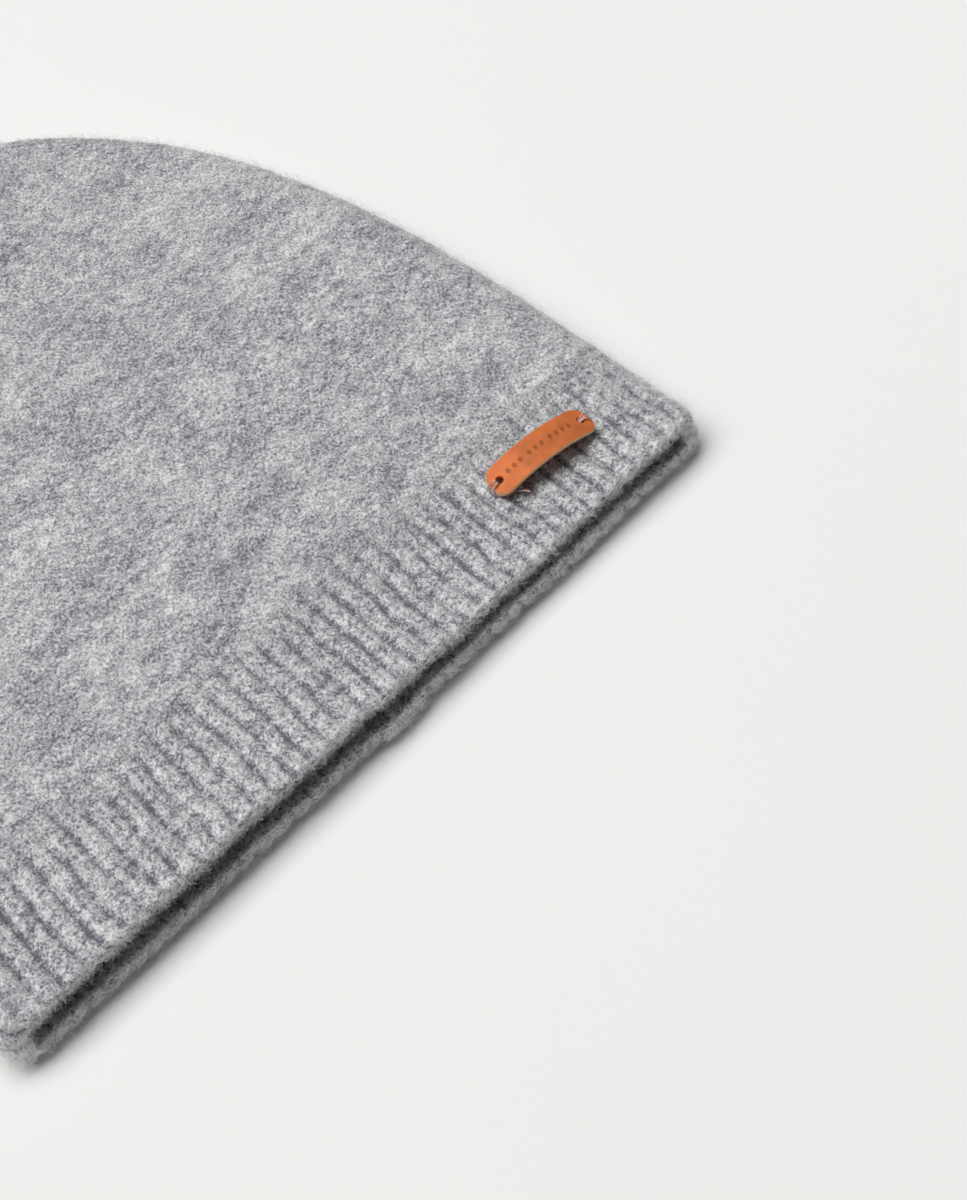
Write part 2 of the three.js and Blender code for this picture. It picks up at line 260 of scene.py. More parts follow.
def front_share(hat, y, z):
    """0 on the back layer and 1 on the front layer, the same on both faces of a wall."""
    return smooth((z - hat.wall) / (full_height(hat, y) - 2 * hat.wall))


def stitch_relief(across, rows):
    """Height of a column of V stitches: slanted cosine waves that meet in a groove along the middle."""
    legs = 0.5 + 0.5 * np.cos(TAU * (rows - 0.95 * np.abs(across)))
    body = np.clip(1 - across**2, 0, 1)
    return body * (0.35 + 0.65 * legs) - 0.45 * bell(across / 0.22)


def crown_surface(hat, share, y, inset):
    """The plain crown: the ring with its front layer lifted, and uneven swelling on the outer face."""
    x, z, out_x, out_z = ring(hat, share, y, inset)
    share, y, inset = np.broadcast_arrays(share, y, inset)
    z = z + front_lift(hat, x, y) * front_share(hat, y, z)
    outer = (inset < hat.wall / 2) * smooth((hat.length - y) / (12 * MM)) * smooth((y - hat.band) / (5 * MM))
    swell = 0.16 * MM * drift(x / (5.5 * MM), y / (3.6 * MM), 3)
    swell = swell + 0.1 * MM * drift(x / (1.9 * MM), y / (1.7 * MM), 4)
    push = outer * swell * np.where(out_z < -0.5, 0, 1)
    return np.stack([x + push * out_x, y - hat.length / 2, z + push * out_z], -1)


def band_surface(hat, share, path):
    """The ribbed band. path runs down the outer face, round the hem's edge and up the inner face, in metres.

    Outer and inner faces follow the same wave, so the wall keeps most of its thickness, and the outer ribs
    carry V stitches. The edge is a half round of the wall's thickness, which the floor presses squarer under
    the back layer. The knit inside it rolls into a thicker lip, thinner towards the left side fold and
    closing the slot at the right one. The corners of the hem are quarter rounds as seen from above.
    """
    share, path = np.broadcast_arrays(share, path)
    edge = hat.wall / 2
    straight = hat.band - edge
    turn = np.clip((path - straight) / edge, 0, math.pi)
    beyond = np.maximum(path - straight - math.pi * edge, 0)
    inset = edge * (1 - np.cos(turn))
    pressed = smooth((np.abs(share - 0.5) - 0.25) / 0.05) * (turn < math.pi / 2)
    square = np.sin(turn) ** (1 - HEM_FLATTER * pressed)
    y = np.where(path < straight, hat.band - path, edge * (1 - square) + beyond)
    x, z, out_x, out_z = ring(hat, share, y, inset)
    front = front_share(hat, y, z)
    inner = smooth((inset / hat.wall - 0.5) * 2)

    across = across_rib(hat, share, y)
    strength = rib_strength(hat, share, y)
    beside_seam = smooth(np.abs(x - hat.seam_x) / SEAM_FLAT_REACH - 0.4)
    strength = strength * (beside_seam + (1 - beside_seam) * front)
    valley = np.abs(across) ** 2.6 * strength
    rows = y / hat.course + 0.25 * drift(share * hat.ribs / 3, y / (9 * MM), 7)
    uneven = 0.75 + 0.5 * drift(share * hat.ribs * 2, rows, 5)
    rows = rows + lattice(np.floor(share * hat.ribs), 0, 2)
    on_column = np.abs(across) < STITCH_WIDTH
    stitch = stitch_relief(across / STITCH_WIDTH, rows) * on_column
    relief = (STITCH_RELIEF * stitch * uneven - RIB_LOWER) * strength
    relief = relief + TUFT_RELIEF * drift(share * hat.ribs * 2.2, y / (2.4 * MM), 6)
    relief = relief * (1 - inner)
    relief = np.where(out_z < -0.5, np.minimum(relief, 0), relief)

    right = x / (hat.width / 2)
    thinner = 1 - 0.45 * smooth((-right - 0.86) / 0.08)
    roll = HEM_ROLL * (1 - 0.4 * front) * thinner + FOLD_FILL * smooth((right - 0.94) / 0.05)
    roll = roll * bell(y / HEM_ROLL_REACH) * inner
    push = relief - hat.rib_depth * valley * (1 - 0.35 * inner) - roll
    bulge = SEAM_BULGE * bell((x - hat.seam_x) / SEAM_BULGE_REACH) * (1 - front)
    hem = SEAM_BULGE - bulge + hat.setback * front + RIB_SETBACK * valley
    hem = hem + HEM_UNEVEN * drift(share * hat.ribs, 0, 9)
    hem = np.maximum(hem + HEM_SKEW * x, 0.05 * MM)
    y_out = hem + (hat.band - hem) * y / hat.band
    round_in = HEM_CORNER * (1 - np.sqrt(1 - np.clip(1 - y / HEM_CORNER, 0, 1) ** 2))
    x_out = x + out_x * push - np.sign(x) * round_in * smooth((np.abs(right) - 0.88) / 0.12)
    z_out = z + out_z * push + front_lift(hat, x, y) * front
    return np.stack([x_out, y_out - hat.length / 2, np.maximum(z_out, 0.05 * MM)], -1)


def across_rib(hat, share, y):
    """Place across a rib, from -1 to 1 between its two valleys, with a slight wander along its length."""
    wander = 0.13 * drift(share * hat.ribs / 1.7, y / (7 * MM), 13)
    return 2 * ((share * hat.ribs + wander) % 1 - 0.5)


def rib_strength(hat, share, y):
    """0 at the top of the band, growing smoothly to 1, sooner on some ribs than on others."""
    fade = RIB_FADE * (1 + 0.45 * drift(share * hat.ribs / 1.3, 0, 16))
    return smooth((hat.band - y) / fade)


def painted_fold_light(hat, share, y):
    """Painted light: 1 on the side folds and the top rim, where the nap catches the light, falling to 0 on
    the flat.
    """
    out_z = ring(hat, share, y, 0)[3]
    return np.maximum(smooth((0.85 - np.abs(out_z)) / 0.6), smooth(1 - (hat.length - y) / (5 * MM)))


def band_tone_and_painted_light(hat, share, path):
    """Band's tone with painted light: lighter stitch legs, lip and folds, darker valleys, broken up into
    tufts.
    """
    share, path = np.broadcast_arrays(share, path)
    y = np.abs(hat.band - hat.wall / 2 - path)
    strength = smooth((hat.band - y) / (1.8 * RIB_FADE))
    across = np.abs(across_rib(hat, share, y))
    broken = 0.95 + 0.4 * drift(share * hat.ribs, y / (5 * MM), 14)
    # Painted shade in the valleys between the ribs and along each rib's middle
    painted_valley_shade = 1.9 * bell((1 - across) / 0.3) + 0.9 * bell(across / 0.17)
    wale = np.abs(2 * across - 1)
    rows = y / hat.course + 0.35 * drift(share * hat.ribs, y / (4 * MM), 18)
    rows = rows + lattice(np.floor(share * hat.ribs), 0, 2)
    # Painted highlight along the slanted stitch legs
    legs = np.cos(TAU * (rows - 0.6 * wale))
    tufts = drift(share * hat.ribs * 3, y / (1.5 * MM), 15)
    z = ring(hat, share, y, 0)[1]
    # Painted light on the back layer's lip and, below, on the side folds
    lip = bell((path - hat.band) / (3.5 * MM)) * (1 - 0.8 * front_share(hat, y, z))
    painted_fold_and_lip_light = 1.5 * painted_fold_light(hat, share, y) + lip
    return strength * (0.5 + 0.3 * legs - painted_valley_shade * broken) + (0.35 + 0.5 * strength) * tufts + painted_fold_and_lip_light


# Mesh making

NO_TRIANGLES = np.zeros((0, 3), int)


def make_piece(name, points, quads, triangles, material, attributes=None):
    """A mesh object at the origin from whole arrays of points, four-sided and three-sided faces."""
    mesh = bpy.data.meshes.new(name)
    points = np.asarray(points, dtype=np.float32).reshape(-1, 3)
    corners = np.concatenate([np.ravel(quads), np.ravel(triangles)]).astype(np.int32)
    sides = np.concatenate([np.full(len(quads), 4), np.full(len(triangles), 3)]).astype(np.int32)
    starts = np.concatenate([[0], np.cumsum(sides)[:-1]]).astype(np.int32)
    mesh.vertices.add(len(points))
    mesh.vertices.foreach_set("co", points.ravel())
    mesh.loops.add(len(corners))
    mesh.loops.foreach_set("vertex_index", corners)
    mesh.polygons.add(len(sides))
    mesh.polygons.foreach_set("loop_start", starts)
    mesh.update(calc_edges=True)
    mesh.shade_smooth()
    mesh.set_sharp_from_angle(angle=math.radians(70))
    for key, values in (attributes or {}).items():
        layer = mesh.attributes.new(key, "FLOAT", "POINT")
        layer.data.foreach_set("value", np.asarray(values, dtype=np.float32))
    mesh.materials.append(material)
    piece = bpy.data.objects.new(name, mesh)
    bpy.context.scene.collection.objects.link(piece)
    return piece


def closed_tube(rings, ends, flipped=False):
    """Points and faces of a row of rings, with a fan round a middle point at each end."""
    rows, columns = rings.shape[:2]
    i = np.arange(columns)
    j = (i + 1) % columns
    first, last_ring = rows * columns, (rows - 1) * columns
    fans = np.concatenate([
        np.stack([np.full(columns, first), j, i], -1),
        np.stack([np.full(columns, first + 1), last_ring + i, last_ring + j], -1),
    ])
    quads = skin_faces(rows, columns, False)
    points = np.concatenate([rings.reshape(-1, 3), ends])
    if flipped:
        return points, quads[:, ::-1], fans[:, [0, 2, 1]]
    return points, quads, fans


def skin_faces(rows, columns, closed):
    """Four-sided faces between rings of equal length, and from the last ring to the first when closed."""
    joins = rows if closed else rows - 1
    r = np.arange(joins)[:, None]
    i = np.arange(columns)[None, :]
    j = (i + 1) % columns
    here, there = r * columns, ((r + 1) % rows) * columns
    return np.stack([here + i, here + j, there + j, there + i], -1).reshape(-1, 4)


def settle(piece, slot, *nodes):
    """Seats a new piece on the hat's body and hides the nodes it stands for; slot is not used."""
    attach(piece, "root")
    if nodes:
        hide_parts(*nodes)
    return piece


def column_shares(hat, front_steps, back_steps):
    """Shares of the way round: front_steps for each rib of the front half and back_steps for each behind."""
    quarter = hat.ribs // 4
    back = np.arange(0, quarter * back_steps) / (back_steps * hat.ribs)
    front_ribs = hat.ribs - 2 * quarter
    front = quarter / hat.ribs + np.arange(0, front_ribs * front_steps) / (front_steps * hat.ribs)
    rest = 1 - quarter / hat.ribs + np.arange(0, quarter * back_steps) / (back_steps * hat.ribs)
    return np.concatenate([back, front, rest])


SHARE_STEP = 4e-5  # small steps that give a surface's slope, as a share of the way round
ALONG_STEP = 0.02 * MM  # and along it
FIBRE_SINK = 0.06 * MM  # how deep a fibre's root sits in the knit
FIBRE_LOWEST = 0.1 * MM  # no fibre comes nearer the floor


def frames_on(surface, share, along):
    """Points of a surface with their outward normal and one tangent, from small steps both ways."""
    here = surface(share, along)
    one = surface(share + SHARE_STEP, along) - here
    two = surface(share, along + ALONG_STEP) - here
    normal = np.cross(one, two)
    normal /= np.maximum(np.linalg.norm(normal, axis=1, keepdims=True), 1e-12)
    one /= np.maximum(np.linalg.norm(one, axis=1, keepdims=True), 1e-12)
    return here, normal, one


def make_fibres(name, roots, normals, tangents, look, rng, length, radius, lift, stand, steps, tones):
    """Tapered three-sided fibres: each leaves along the lifted tangent, arches and leans over as it goes.

    Its height is its lift times 2 t - (2 - stand) t squared, for t from root to tip. One with a single step
    is a straight, slim spike.
    """
    count = len(roots)
    angle = rng.uniform(0, TAU, count)[:, None]
    side = np.cross(normals, tangents)
    lie = tangents * np.cos(angle) + side * np.sin(angle)
    wander = rng.normal(0, 0.35, (count, 1)) * np.cross(normals, lie)
    size = length * rng.uniform(0.45, 1.25, (count, 1))
    rise = lift * rng.uniform(0.35, 1.0, (count, 1))
    rings = []
    for k in range(steps):
        t = k / steps
        centre = roots + size * (t * lie + t * t * wander)
        centre = centre + normals * size * rise * (2 * t - (2 - stand) * t * t)
        centre = centre - normals * FIBRE_SINK * (1 - t)
        fine = radius * (1 - 0.55 * t)
        for corner in range(3):
            a = TAU * corner / 3
            cross_a = np.cross(lie, normals) * math.cos(a) + normals * math.sin(a)
            rings.append(centre + fine * cross_a)
    tip = roots + size * (lie + wander) + normals * size * rise * stand
    points = np.stack(rings + [tip], 1)
    points[..., 2] = np.maximum(points[..., 2], FIBRE_LOWEST)
    per = 3 * steps + 1
    base = (np.arange(count) * per)[:, None]
    ring_of = np.arange(steps - 1)[:, None] * 3
    i = np.arange(3)[None]
    j = (i + 1) % 3
    walls = np.stack([ring_of + i, ring_of + 3 + i, ring_of + 3 + j, ring_of + j], -1).reshape(-1, 4)
    last = 3 * (steps - 1)
    ends = np.array([[last + a, per - 1, last + (a + 1) % 3] for a in range(3)] + [[0, 1, 2]])
    quads = (base[:, :, None] + walls[None]).reshape(-1, 4)
    triangles = (base[:, :, None] + ends[None]).reshape(-1, 3)
    tone = np.repeat(tones, per)
    return make_piece(name, points, quads, triangles, look, {"tone": tone})


# Materials

class Nodes:
    """Short words for adding linked shader nodes to one material."""

    def __init__(self, name):
        self.material = bpy.data.materials.new(name)
        self.material.use_nodes = True
        self.tree = self.material.node_tree
        self.tree.nodes.clear()

    def add(self, kind, settings=None, **inputs):
        node = self.tree.nodes.new("ShaderNode" + kind)
        for key, value in (settings or {}).items():
            setattr(node, key, value)
        for key, value in inputs.items():
            name = int(key[1:]) if key[0] == "_" else key.replace("_", " ")
            socket = node.inputs[name]
            if isinstance(value, bpy.types.NodeSocket):
                self.tree.links.new(value, socket)
            else:
                socket.default_value = value
        return node

    def math(self, operation, first, second=0.0):
        return self.add("Math", {"operation": operation}, _0=first, _1=second).outputs[0]

    def weighted(self, *pairs):
        """The sum of each value times its weight."""
        total = self.math("MULTIPLY", *pairs[0])
        for value, weight in pairs[1:]:
            total = self.add("Math", {"operation": "MULTIPLY_ADD"}, _0=value, _1=weight, _2=total).outputs[0]
        return total

    def noise(self, vector, scale, detail=2.0, roughness=0.5):
        node = self.add("TexNoise", Vector=vector, Scale=scale, Detail=detail, Roughness=roughness)
        return node.outputs["Fac"]

    def ramp(self, value, *stops):
        node = self.add("ValToRGB", Fac=value)
        ends = node.color_ramp.elements
        while len(ends) < len(stops):
            ends.new(0.5)
        for end, (position, colour) in zip(ends, stops):
            end.position = position
            end.color = (*colour, 1)
        return node.outputs["Color"]

    def finish(self, shader):
        self.add("OutputMaterial", Surface=shader.outputs[0])
        return self.material


def scaled(colour, factor):
    """The colour made darker or paler."""
    return tuple(min(1, part * factor) for part in colour)


def mix_colour(nodes, factor, first, second):
    """A plain mix of two colours."""
    node = nodes.add("Mix", {"data_type": "RGBA"})
    for socket, value in ((0, factor), (6, first), (7, second)):
        if isinstance(value, bpy.types.NodeSocket):
            nodes.tree.links.new(value, node.inputs[socket])
        else:
            node.inputs[socket].default_value = value if socket == 0 else (*value, 1)
    return node.outputs[2]


STITCH_ACROSS = 2.9 * MM  # one plain stitch of the crown
STITCH_UP = 2.15 * MM


def wool_material(name, wool, darker, stitches=0.0, shaded=False, grain=0.66):
    """Melange wool: fine flecks, streaks along the courses and soft clouds mixed into one tone, with bump.

    stitches is how strongly faint V stitches show in the colour and the bump, and grain how much the flecks
    weigh against the clouds. A shaded piece also turns darker or paler by its own shade, which paints light
    on the folds and the hem's lip and is negative in the hollows, where it paints shade.
    """
    nodes = Nodes(name)
    place = nodes.add("TexCoord").outputs["Object"]
    streaked = nodes.add("Mapping", Vector=place, Scale=(0.6, 1.0, 1.0)).outputs[0]
    fleck = nodes.noise(place, 1600.0, 3.0, 0.75)
    streak = nodes.noise(streaked, 480.0, 3.0, 0.6)
    cloud = nodes.noise(streaked, 95.0, 2.0, 0.5)
    tone = nodes.weighted((fleck, grain), (streak, 0.3), (cloud, 0.84 - grain))
    if stitches:
        across, up, _ = nodes.add("SeparateXYZ", Vector=place).outputs
        wale = nodes.math("PINGPONG", nodes.math("MULTIPLY", across, 1 / STITCH_ACROSS), 0.5)
        rows = nodes.math("MULTIPLY", up, 1 / STITCH_UP)
        slant = nodes.math("SUBTRACT", rows, nodes.math("MULTIPLY", wale, 1.7))
        legs = nodes.math("SINE", nodes.math("MULTIPLY", slant, TAU))
        tone = nodes.weighted((tone, 1.0), (legs, stitches))
    if shaded:
        shade = nodes.add("Attribute", {"attribute_name": "shade"}).outputs["Fac"]
        # The shade attribute paints light on the folds and lip and shade in the hollows
        tone = nodes.weighted((tone, 1.0), (shade, 0.06))
    dark, middle, light = (scaled(colour, darker) for colour in (wool.dark, wool.middle, wool.light))
    colour = nodes.ramp(tone, (0.46, dark), (0.57, middle), (0.69, light))
    height = nodes.math("ADD", tone, nodes.math("MULTIPLY", nodes.noise(place, 2600.0, 2.0, 0.6), 0.4))
    bump = nodes.add("Bump", Strength=0.55, Distance=0.45 * MM, Height=height)
    shader = nodes.add(
        "BsdfPrincipled",
        Base_Color=colour,
        Roughness=0.95,
        Sheen_Weight=0.6,
        Sheen_Roughness=0.35,
        Specular_IOR_Level=0.15,
        Normal=bump.outputs[0],
    )
    return nodes.finish(shader)


PALEST_FIBRE = (0.9, 0.9, 0.91)


def fibre_material(name, wool, through):
    """Single wool fibres: each takes its shade from its own tone, and lets a share of the light through."""
    nodes = Nodes(name)
    tone = nodes.add("Attribute", {"attribute_name": "tone"}).outputs["Fac"]
    colour = nodes.ramp(tone, (0.0, wool.dark), (0.45, wool.middle), (1.0, PALEST_FIBRE))
    shader = nodes.add(
        "BsdfPrincipled",
        Base_Color=colour,
        Roughness=0.7,
        Sheen_Weight=0.8,
        Specular_IOR_Level=0.25,
        Subsurface_Weight=through,
        Subsurface_Radius=(0.3, 0.3, 0.3),
        Subsurface_Scale=1 * MM,
    )
    return nodes.finish(shader)


def leather_material(name, tag):
    """Smooth tan leather: fine grain, slow mottling and small creases, with a paler raw edge by the slope."""
    nodes = Nodes(name)
    place = nodes.add("TexCoord").outputs["Object"]
    mottle = nodes.noise(place, 160.0, 3.0, 0.55)
    grain = nodes.add("TexVoronoi", {"feature": "F1"}, Vector=place, Scale=2600.0).outputs["Distance"]
    fine = nodes.noise(place, 3800.0, 3.0, 0.7)
    shade = nodes.ramp(mottle, (0.3, scaled(tag.face, 0.78)), (0.7, scaled(tag.face, 1.18)))
    edge = nodes.add("Attribute", {"attribute_name": "edge"}).outputs["Fac"]
    frayed = nodes.math("MINIMUM", nodes.weighted((fine, 0.5), (edge, 1.0)), 1.0)
    colour = mix_colour(nodes, nodes.math("MULTIPLY", edge, frayed), shade, tuple(tag.edge))
    pressed = nodes.add("Attribute", {"attribute_name": "pressed"}).outputs["Fac"]
    colour = mix_colour(nodes, pressed, colour, scaled(tag.face, 0.42))
    height = nodes.math("ADD", nodes.math("MULTIPLY", grain, 0.5), nodes.math("MULTIPLY", fine, 0.5))
    bump = nodes.add("Bump", Strength=0.45, Distance=0.15 * MM, Height=height)
    shader = nodes.add(
        "BsdfPrincipled", Base_Color=colour, Roughness=0.58, Specular_IOR_Level=0.22, Normal=bump.outputs[0]
    )
    return nodes.finish(shader)


def thread_material(name, colour):
    """Twisted sewing thread: fine bands across the strand with small bump."""
    nodes = Nodes(name)
    place = nodes.add("TexCoord").outputs["Object"]
    twist = nodes.noise(place, 2800.0, 2.0, 0.6)
    shade = nodes.ramp(twist, (0.3, scaled(colour, 0.75)), (0.7, scaled(colour, 1.2)))
    bump = nodes.add("Bump", Strength=0.5, Distance=0.1 * MM, Height=twist)
    shader = nodes.add("BsdfPrincipled", Base_Color=shade, Roughness=0.85, Normal=bump.outputs[0])
    return nodes.finish(shader)


def floor_material(name, colour):
    """Matte seamless paper with a very slight mottling."""
    nodes = Nodes(name)
    place = nodes.add("TexCoord").outputs["Object"]
    slow = nodes.noise(place, 6.0, 2.0, 0.5)
    shade = nodes.ramp(slow, (0.2, scaled(colour, 0.992)), (0.8, colour))
    shader = nodes.add("BsdfPrincipled", Base_Color=shade, Roughness=0.9, Specular_IOR_Level=0.1)
    return nodes.finish(shader)


# Operators, one for each piece or group of like pieces

CROWN_RIM_PAINTED_LIGHT = 1.2  # painted light on the crown's side folds and top rim


class MakeCrown(bpy.types.Operator):
    """Makes the brushed crown, outer and inner face in one closed skin"""

    bl_idname = "beanie.make_crown"
    bl_label = "Make the crown"

    def execute(self, context):
        hat, wool = context.scene.beanie_hat, context.scene.beanie_wool
        share = column_shares(hat, 6, 2)
        outer = crown_rows(hat, 170, 0)
        inner = crown_rows(hat, 22, hat.wall)
        outside = crown_surface(hat, share[None], outer[:, None], 0 * outer[:, None])
        inside = crown_surface(hat, share[None], inner[::-1, None], hat.wall + 0 * inner[:, None])
        insets = np.array([0, hat.wall])
        poles = crown_surface(hat, np.zeros(2), hat.length - insets, insets)
        skin = closed_tube(np.concatenate([outside, inside]), poles)
        look = wool_material("brushed_wool", wool, 1.0, stitches=0.016, shaded=True)
        y = np.concatenate([outer, inner[::-1]])[:, None]
        # The crown's shade is painted light on its side folds and top rim
        shade = np.append(CROWN_RIM_PAINTED_LIGHT * painted_fold_light(hat, share[None], y), [CROWN_RIM_PAINTED_LIGHT] * 2)
        settle(make_piece("knit_crown", *skin, look, {"shade": shade}), "brushed_knit", "crown")
        return {"FINISHED"}


def crown_rows(hat, count, inset):
    """Distances from the top to the band, crowded near the top where the outline turns fastest."""
    top = hat.length - inset
    t = np.arange(1, count + 1) / count
    return top - (top - hat.band) * t**1.35


class MakeBand(bpy.types.Operator):
    """Makes the ribbed band, outer face, hem edge and inner face in one closed skin"""

    bl_idname = "beanie.make_band"
    bl_label = "Make the ribbed band"

    def execute(self, context):
        hat, wool = context.scene.beanie_hat, context.scene.beanie_wool
        share = column_shares(hat, 12, 5)
        edge = hat.wall / 2
        straight = hat.band - edge
        path = np.concatenate([
            np.linspace(0, straight, 88),
            straight + math.pi * edge * np.arange(1, 11) / 11,
            straight + math.pi * edge + straight * (np.arange(0, 28) / 27) ** 1.4,
        ])
        rings = band_surface(hat, share[None], path[:, None])
        rows, columns = rings.shape[:2]
        look = wool_material("ribbed_wool", wool, 0.97, shaded=True, grain=0.78)
        # The band's shade paints shade in the valleys and light on the lip and folds, among uneven tufts
        shade = band_tone_and_painted_light(hat, share[None], path[:, None])
        faces = skin_faces(rows, columns, True)
        piece = make_piece("knit_band", rings, faces, NO_TRIANGLES, look, {"shade": shade.ravel()})
        settle(piece, "ribbed_knit", "rib_band")
        return {"FINISHED"}


class MakeNap(bpy.types.Operator):
    """Makes the brushed fibres that stand on the knit, patch by patch"""

    bl_idname = "beanie.make_nap"
    bl_label = "Make the nap"

    def execute(self, context):
        hat, wool = context.scene.beanie_hat, context.scene.beanie_wool
        looks = {1: fibre_material("wool_nap", wool, 0.5), 2: fibre_material("wool_fuzz", wool, 0.8)}
        crown = lambda share, y: crown_surface(hat, share, y, np.zeros_like(y))
        band = lambda share, path: band_surface(hat, share, path)
        straight = hat.band - hat.wall / 2
        around = math.pi * hat.wall / 2
        half, top = hat.length / 2, hat.length
        hem = (straight, straight + around)
        right, left = (0.235, 0.285), (0.715, 0.765)
        edge = (hat.band, 0.97 * top)
        # Lift, stand, steps and paler of the fibres on the flat and of those that show against the floor;
        # paler is painted light that makes the loose fibres look lit
        short, loose = (1.2, 0.3, 1, 0.0), (0.9, 0.8, 2, 0.5)
        # Each patch: name, surface, shares of the way round, reach along it, amount, length and radius
        patches = (
            ("nap_crown_lower", crown, (0.22, 0.78), (hat.band, half), 0.85, 0.7, 0.05, *short),
            ("nap_crown_middle", crown, (0.22, 0.78), (half, 0.75 * top), 0.75, 0.7, 0.05, *short),
            ("nap_crown_upper", crown, (0.2, 0.8), (0.75 * top, top), 0.7, 0.7, 0.05, *short),
            ("nap_band", band, (0.22, 0.78), (0, straight), 0.8, 0.6, 0.045, *short),
            ("nap_hem", band, (0, 1), hem, 0.4, 1.0, 0.038, *loose),
            ("nap_crown_right", crown, right, edge, 0.14, 1.2, 0.04, *loose),
            ("nap_crown_left", crown, left, edge, 0.14, 1.2, 0.04, *loose),
            ("nap_band_right", band, right, (0, straight), 0.05, 1.2, 0.04, *loose),
            ("nap_band_left", band, left, (0, straight), 0.05, 1.2, 0.04, *loose),
        )
        for number, (name, surface, shares, reach, *how) in enumerate(patches):
            amount, length, radius, lift, stand, steps, paler = how
            rng = np.random.default_rng(40 + number)
            count = int(wool.nap_count * amount)
            share, along = scatter(hat, surface is crown, shares, reach, count, rng)
            roots, normals, tangents = frames_on(surface, share, along)
            # Fibres take the knit's painted light on the folds and lip and, on the band, its painted valley
            # shade
            if surface is crown:
                normals = -normals
                tones = 0.55 + 0.3 * painted_fold_light(hat, share, along)
            else:
                tones = 0.58 + 0.13 * band_tone_and_painted_light(hat, share, along)
            x, y = roots[:, 0] / MM, roots[:, 1] / MM
            tones = tones + 0.3 * drift(x / 0.9, y / 0.9, 21) + 0.15 * drift(x / 7, y / 3, 22)
            # paler paints light onto the loose fibres that show against the floor
            tones = np.clip(tones + paler + rng.normal(0, 0.2, len(share)), 0, 1)
            piece = make_fibres(
                name, roots, normals, tangents, looks[steps], rng,
                length * wool.nap, radius * MM, lift, stand, steps, tones,
            )
            settle(piece, "brushed_knit" if surface is crown else "ribbed_knit")
        return {"FINISHED"}


def scatter(hat, domed, shares, reach, count, rng):
    """Random places, as share and distance along, spread as evenly as the rings' widths allow on the dome."""
    share = rng.uniform(*shares, 3 * count)
    along = rng.uniform(*reach, 3 * count)
    if domed:
        keep = rng.uniform(0, 1, 3 * count) < half_width(hat, along, 0) / (hat.width / 2) + 0.02
        share, along = share[keep], along[keep]
    return share[:count], along[:count]


SEAM_ROUND_END = 1.5 * MM


class MakeSeam(bpy.types.Operator):
    """Makes the folded edges of the knit along the back seam"""

    bl_idname = "beanie.make_seam"
    bl_label = "Make the back seam"

    def execute(self, context):
        hat, wool = context.scene.beanie_hat, context.scene.beanie_wool
        low, high = (np.array(corner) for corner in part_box("back_seam"))
        around = np.linspace(0, TAU, 28, endpoint=False)[None]
        near = np.linspace(low[1], low[1] + 45 * MM, 90)
        far = np.linspace(low[1] + 46 * MM, high[1], 60)
        y = np.concatenate([near, far])[:, None]
        end = np.minimum(y - low[1], high[1] - y) / SEAM_ROUND_END
        swell = np.sqrt(np.clip(1 - (1 - np.clip(end, 0.02, 1)) ** 2, 0, 1))
        ramp = 0.35 + 0.65 * smooth((y - low[1]) / (7 * MM))
        rise = (high[2] - low[2]) * (1 - 0.2 * smooth((y - low[1]) / hat.band)) * swell * ramp
        half = (high[0] - low[0]) / 2 * swell
        lumps = 1 + 0.1 * np.cos(TAU * y / hat.course + 2 * around) + 0.06 * drift(8 * around, y / MM, 12)
        x = (low[0] + high[0]) / 2 + half * np.cos(around) * np.minimum(lumps, 1.05)
        z = low[2] + rise * (0.5 + 0.5 * np.sin(around)) * np.minimum(lumps, 1.03)
        rings = np.stack(np.broadcast_arrays(x, y, z), -1)
        skin = closed_tube(rings, rings[[0, -1]].mean(1), flipped=True)
        look = wool_material("seam_wool", wool, 0.9)
        settle(make_piece("seam_fold", *skin, look), "seam_knit", "back_seam")
        return {"FINISHED"}


# Details of the tag and its thread, where x runs along the tag and y across it

TAG_SOFT = 0.28 * MM  # rounding of the leather's edges
TAG_CLEARANCE = 0.3 * MM  # air between the tag's ends and the ribs
TAG_CROWDING = 0.98  # how much of a quarter turn crowds the tag's rings towards its ends
MARK_PLACES = (-10.2, -8.2, -6.2, -3.4, -1.4, 0.6, 3.4, 5.4, 7.4, 9.4)  # in millimetres
MARK_RADIUS = 0.68 * MM
MARK_SQUEEZE = 0.75  # the marks are this much narrower than they are long across the tag
MARK_SLOPE = 0.35 * MM
MARK_DEPTH = 0.22 * MM
THREAD_RADIUS = 0.14 * MM
STRANDS = (-0.75, -0.25, 0.3, 0.8)  # in millimetres across the tag
# Two loose strands lie side by side on this route, in millimetres
LOOSE_ROUTE = ((-12.2, -3, 0.2), (-11, -4.5, 0.5), (-9.7, -5.6, 0.4), (-8.9, -6.4, 0.2))
LOOSE_APART = 0.3


def tag_frame(hat, tag):
    """Seats the tag's own frame on the ribs: in its place, turned in its plane and tilted with the knit."""
    turn = tag.turn
    reach, drop = tag.length / 2 * math.cos(turn), tag.length / 2 * math.sin(turn)
    px, py = tag.place
    height = lambda x, y: float(full_height(hat, y) + front_lift(hat, x, y))
    left, right = height(px - reach, py - drop), height(px + reach, py + drop)
    sag = max(0.0, height(px, py) - (left + right) / 2)
    tilt = math.atan2(right - left, 2 * reach)
    ct, st, cy, sy = math.cos(turn), math.sin(turn), math.cos(-tilt), math.sin(-tilt)
    in_plane = np.array([[ct, -st, 0], [st, ct, 0], [0, 0, 1]])
    tilted = np.array([[cy, 0, sy], [0, 1, 0], [-sy, 0, cy]])
    origin = np.array([px, py - hat.length / 2, (left + right) / 2 + TAG_CLEARANCE + sag / 2])
    return lambda points: points @ (in_plane @ tilted).T + origin


def arch(tag, x):
    """Height of the tag's underside: the rise times one minus the square of the share along."""
    return tag.rise * (1 - (2 * x / tag.length) ** 2)


